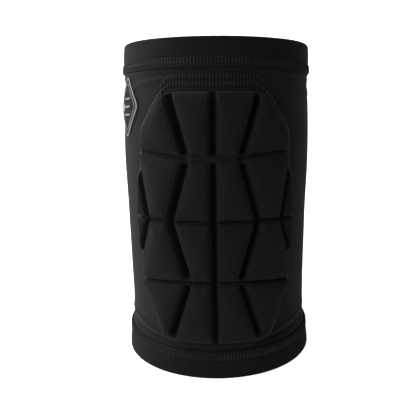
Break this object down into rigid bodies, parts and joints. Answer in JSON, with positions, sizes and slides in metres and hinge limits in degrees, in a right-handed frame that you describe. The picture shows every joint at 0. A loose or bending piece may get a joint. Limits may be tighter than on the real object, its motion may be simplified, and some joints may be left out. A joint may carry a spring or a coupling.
{
  "type": "elbow pad",
  "caption": "Pull-on knitted elbow sleeve with folded elastic cuffs and a segmented foam pad that bends with the elbow.",
  "frame": {"origin": "centre of the lower rim's plane", "axes": "+Z out of the lower rim along the sleeve, -Y out of the padded side, +X to the right as seen facing the pad"},
  "size_m": [0.114, 0.1379, 0.2036],
  "materials": {
    "sleeve_knit": "matte",
    "cuff_knit": "matte",
    "cover_knit": "matte",
    "backing_cloth": "matte",
    "pad_foam": "matte",
    "cuff_elastic": "matte",
    "thread": "satin",
    "badge_print": "matte"
  },
  "bodies": {
    "forearm_section": {"lower_cuff": "cuff_knit", "lower_cuff_elastic": "cuff_elastic", "lower_cuff_stitching": "thread", "sleeve_tube": "sleeve_knit", "rear_seam": "thread", "pad_backing": "backing_cloth", "pad_cover": "cover_knit", "pad_welt": "cover_knit", "bottom_row_inner_tile_left": "pad_foam", "bottom_row_inner_tile_right": "pad_foam", "bottom_row_outer_tile_left": "pad_foam", "bottom_row_outer_tile_right": "pad_foam"},
    "lower_elbow_section": {"lower_elbow_inner_tile_left": "pad_foam", "lower_elbow_inner_tile_right": "pad_foam", "lower_elbow_outer_tile_left": "pad_foam", "lower_elbow_outer_tile_right": "pad_foam", "lower_elbow_wing_tile_left": "pad_foam", "lower_elbow_wing_tile_right": "pad_foam"},
    "upper_elbow_section": {"upper_elbow_inner_tile_left": "pad_foam", "upper_elbow_inner_tile_right": "pad_foam", "upper_elbow_outer_tile_left": "pad_foam", "upper_elbow_outer_tile_right": "pad_foam", "upper_elbow_wing_tile_left": "pad_foam", "upper_elbow_wing_tile_right": "pad_foam"},
    "upper_arm_section": {"upper_cuff": "cuff_knit", "upper_cuff_elastic": "cuff_elastic", "upper_cuff_stitching": "thread", "pad_top_stitching": "thread", "side_badge": "badge_print", "top_row_inner_tile_left": "pad_foam", "top_row_inner_tile_right": "pad_foam", "top_row_outer_tile_left": "pad_foam", "top_row_outer_tile_right": "pad_foam"}
  },
  "joints": [
    {"name": "lower_crease_fold", "type": "hinge", "parent": "forearm_section", "child": "lower_elbow_section", "pos_m": [0, -0.00996, 0.06175], "axis": [-1, 0, 0], "range_deg": [-3.5, 20], "stiffness_Nm_per_rad": 0.5, "deforming": ["sleeve_tube", "rear_seam", "pad_backing", "pad_cover", "pad_welt"]},
    {"name": "middle_crease_fold", "type": "hinge", "parent": "lower_elbow_section", "child": "upper_elbow_section", "pos_m": [0, -0.00466, 0.09451], "axis": [-1, 0, 0], "range_deg": [-3.5, 20], "stiffness_Nm_per_rad": 0.5, "deforming": ["sleeve_tube", "rear_seam", "pad_backing", "pad_cover", "pad_welt"]},
    {"name": "upper_crease_fold", "type": "hinge", "parent": "upper_elbow_section", "child": "upper_arm_section", "pos_m": [0, 0.00388, 0.12657], "axis": [-1, 0, 0], "range_deg": [-3.5, 20], "stiffness_Nm_per_rad": 0.5, "deforming": ["sleeve_tube", "rear_seam", "pad_backing", "pad_cover", "pad_welt"]}
  ],
  "couplings": [
    {"joint": "lower_crease_fold", "follows": "middle_crease_fold", "ratio": 1},
    {"joint": "upper_crease_fold", "follows": "middle_crease_fold", "ratio": 1}
  ]
}
